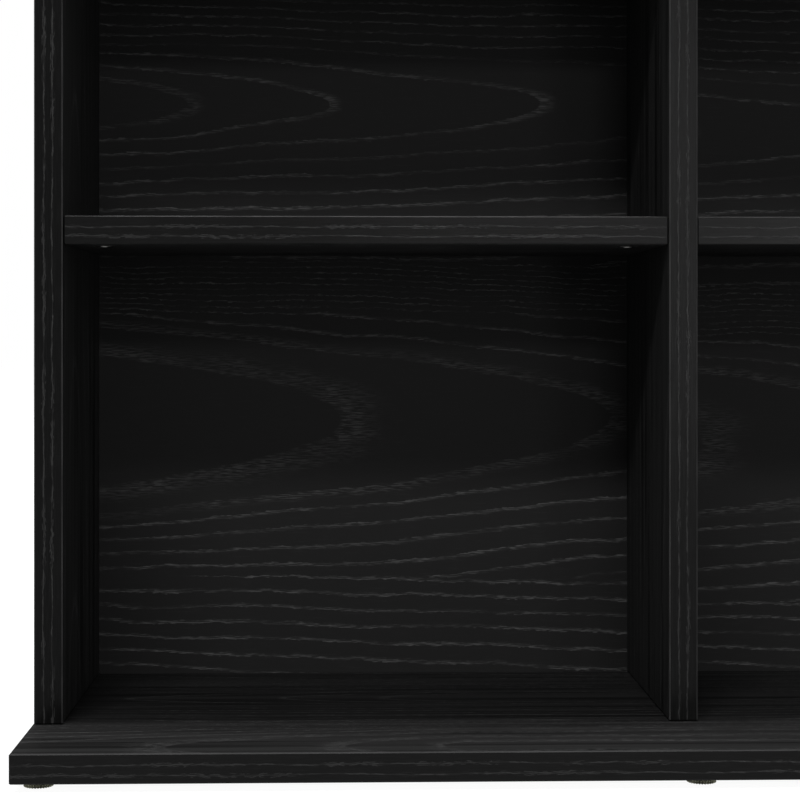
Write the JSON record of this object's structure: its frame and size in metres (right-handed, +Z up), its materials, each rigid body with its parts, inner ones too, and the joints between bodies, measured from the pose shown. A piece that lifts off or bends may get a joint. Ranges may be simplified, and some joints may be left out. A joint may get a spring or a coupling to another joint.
{
  "type": "cd cabinet",
  "caption": "Tall open cabinet for compact discs: black oak boards on a deeper base board, dividers, fixed shelves, grooved back panels and screw-in levelling feet.",
  "frame": {"origin": "on the floor, under the middle of the cabinet's overall width and depth", "axes": "+X to the right seen from the front, +Y from the front to the back, +Z up"},
  "size_m": [1.02, 0.23, 1.775],
  "materials": {
    "black_oak_board": "black laminate with a lighter embossed oak grain, satin",
    "black_oak_panel": "thin hardboard faced with the same black oak grain, satin",
    "bronzed_metal": "dark olive bronze, knurled",
    "zinc_plate": "zinc plate, dull"
  },
  "bodies": {
    "cabinet": {"base_board": "black_oak_board", "top_board": "black_oak_board", "side_left": "black_oak_board", "divider_left": "black_oak_board", "divider_right": "black_oak_board", "side_right": "black_oak_board", "shelf_left_1": "black_oak_board", "shelf_left_2": "black_oak_board", "shelf_left_3": "black_oak_board", "shelf_left_4": "black_oak_board", "shelf_left_5": "black_oak_board", "shelf_left_6": "black_oak_board", "shelf_left_7": "black_oak_board", "shelf_left_8": "black_oak_board", "shelf_left_9": "black_oak_board", "shelf_middle_1": "black_oak_board", "shelf_middle_2": "black_oak_board", "shelf_middle_3": "black_oak_board", "shelf_middle_4": "black_oak_board", "shelf_middle_5": "black_oak_board", "shelf_middle_6": "black_oak_board", "shelf_middle_7": "black_oak_board", "shelf_middle_8": "black_oak_board", "shelf_middle_9": "black_oak_board", "shelf_right_1": "black_oak_board", "shelf_right_2": "black_oak_board", "shelf_right_3": "black_oak_board", "shelf_right_4": "black_oak_board", "shelf_right_5": "black_oak_board", "shelf_right_6": "black_oak_board", "shelf_right_7": "black_oak_board", "shelf_right_8": "black_oak_board", "shelf_right_9": "black_oak_board", "back_panel_left": "black_oak_panel", "back_panel_middle": "black_oak_panel", "back_panel_right": "black_oak_panel", "foot_sleeve_front_1": "zinc_plate", "foot_sleeve_front_2": "zinc_plate", "foot_sleeve_front_3": "zinc_plate", "foot_sleeve_front_4": "zinc_plate", "foot_sleeve_rear_1": "zinc_plate", "foot_sleeve_rear_2": "zinc_plate", "foot_sleeve_rear_3": "zinc_plate", "foot_sleeve_rear_4": "zinc_plate"},
    "levelling_foot_front_1": {"levelling_foot_front_1": "bronzed_metal"},
    "levelling_foot_front_2": {"levelling_foot_front_2": "bronzed_metal"},
    "levelling_foot_front_3": {"levelling_foot_front_3": "bronzed_metal"},
    "levelling_foot_front_4": {"levelling_foot_front_4": "bronzed_metal"},
    "levelling_foot_rear_1": {"levelling_foot_rear_1": "bronzed_metal"},
    "levelling_foot_rear_2": {"levelling_foot_rear_2": "bronzed_metal"},
    "levelling_foot_rear_3": {"levelling_foot_rear_3": "bronzed_metal"},
    "levelling_foot_rear_4": {"levelling_foot_rear_4": "bronzed_metal"}
  },
  "joints": [
    {"name": "levelling_foot_front_1_height", "type": "slide", "parent": "cabinet", "child": "levelling_foot_front_1", "axis": [0, 0, -1], "range_m": [0, 0.008]},
    {"name": "levelling_foot_front_2_height", "type": "slide", "parent": "cabinet", "child": "levelling_foot_front_2", "axis": [0, 0, -1], "range_m": [0, 0.008]},
    {"name": "levelling_foot_front_3_height", "type": "slide", "parent": "cabinet", "child": "levelling_foot_front_3", "axis": [0, 0, -1], "range_m": [0, 0.008]},
    {"name": "levelling_foot_front_4_height", "type": "slide", "parent": "cabinet", "child": "levelling_foot_front_4", "axis": [0, 0, -1], "range_m": [0, 0.008]},
    {"name": "levelling_foot_rear_1_height", "type": "slide", "parent": "cabinet", "child": "levelling_foot_rear_1", "axis": [0, 0, -1], "range_m": [0, 0.008]},
    {"name": "levelling_foot_rear_2_height", "type": "slide", "parent": "cabinet", "child": "levelling_foot_rear_2", "axis": [0, 0, -1], "range_m": [0, 0.008]},
    {"name": "levelling_foot_rear_3_height", "type": "slide", "parent": "cabinet", "child": "levelling_foot_rear_3", "axis": [0, 0, -1], "range_m": [0, 0.008]},
    {"name": "levelling_foot_rear_4_height", "type": "slide", "parent": "cabinet", "child": "levelling_foot_rear_4", "axis": [0, 0, -1], "range_m": [0, 0.008]}
  ]
}
